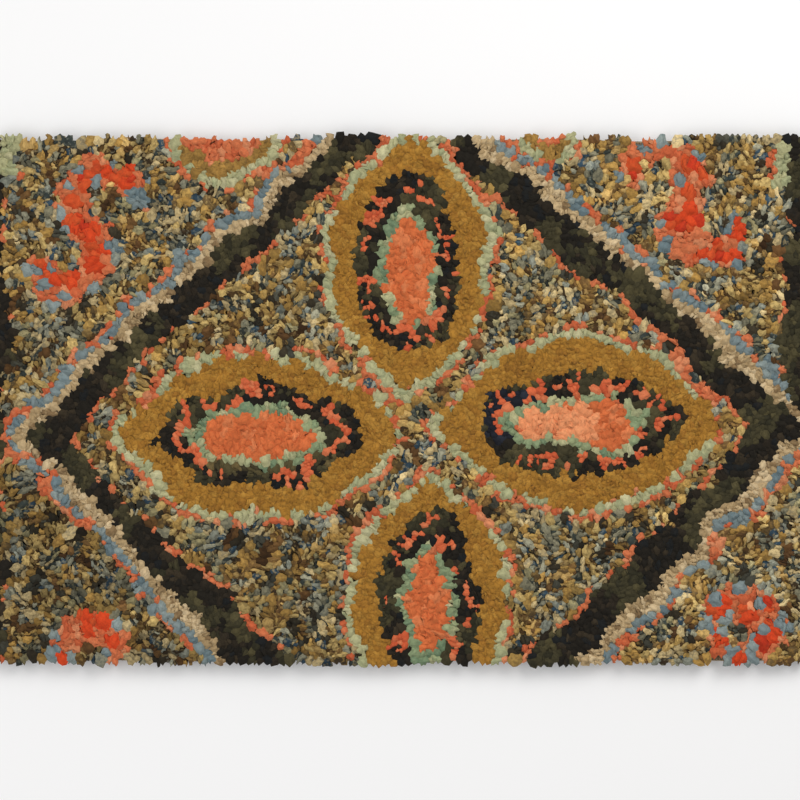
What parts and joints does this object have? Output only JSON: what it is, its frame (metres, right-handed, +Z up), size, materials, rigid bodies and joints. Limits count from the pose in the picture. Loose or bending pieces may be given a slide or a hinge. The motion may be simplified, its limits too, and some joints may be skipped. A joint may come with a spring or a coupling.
{
  "type": "hooked rug",
  "caption": "Flat cut length of hooked rug with a dense sheared rag pile: a dark diamond band round petal medallions, with scrolls in its corners.",
  "frame": {"origin": "on the floor, under the middle of the rug", "axes": "+X along the rug's longer side, +Y along its shorter side, towards the diamond's top, +Z up out of the pile"},
  "size_m": [0.4939, 0.3189, 0.0127],
  "materials": {
    "rag_pile": "matt sheared wool pile in ochre, charcoal, coral, celadon and mixed tweed colours on a coarse ground cloth"
  },
  "bodies": {
    "root": {"hooked_rug": "rag_pile"}
  },
  "joints": []
}
